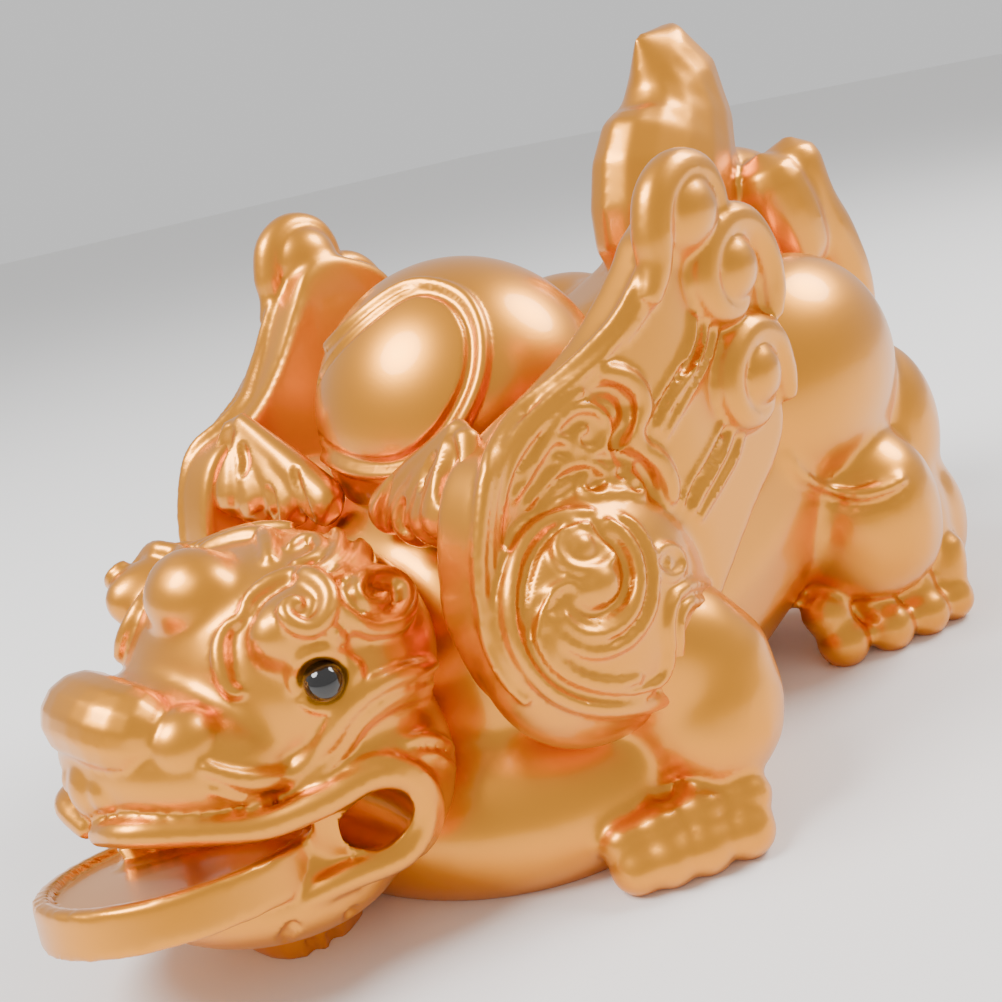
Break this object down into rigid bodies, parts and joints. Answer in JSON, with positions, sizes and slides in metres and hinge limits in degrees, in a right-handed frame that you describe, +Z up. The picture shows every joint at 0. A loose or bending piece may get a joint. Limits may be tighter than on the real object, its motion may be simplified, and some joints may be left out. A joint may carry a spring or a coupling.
{
  "type": "tea pet figurine",
  "caption": "Gold resin tea pet: a winged beast lying on its belly with a coin in its mouth and a ball on its back, resting on a flat underside.",
  "frame": {"origin": "on the flat underside, below the middle of the figure's length and width", "axes": "+Z up, -Y towards the head and +Y towards the tail, +X towards the beast's own left side"},
  "size_m": [0.0916, 0.1506, 0.0917],
  "materials": {
    "gold_flake_paint": "metallic gold flake paint under a clear gloss coat",
    "black_gloss": "polished black"
  },
  "bodies": {
    "root": {"resin_casting": "gold_flake_paint", "eye_bead_left": "black_gloss", "eye_bead_right": "black_gloss"}
  },
  "joints": []
}
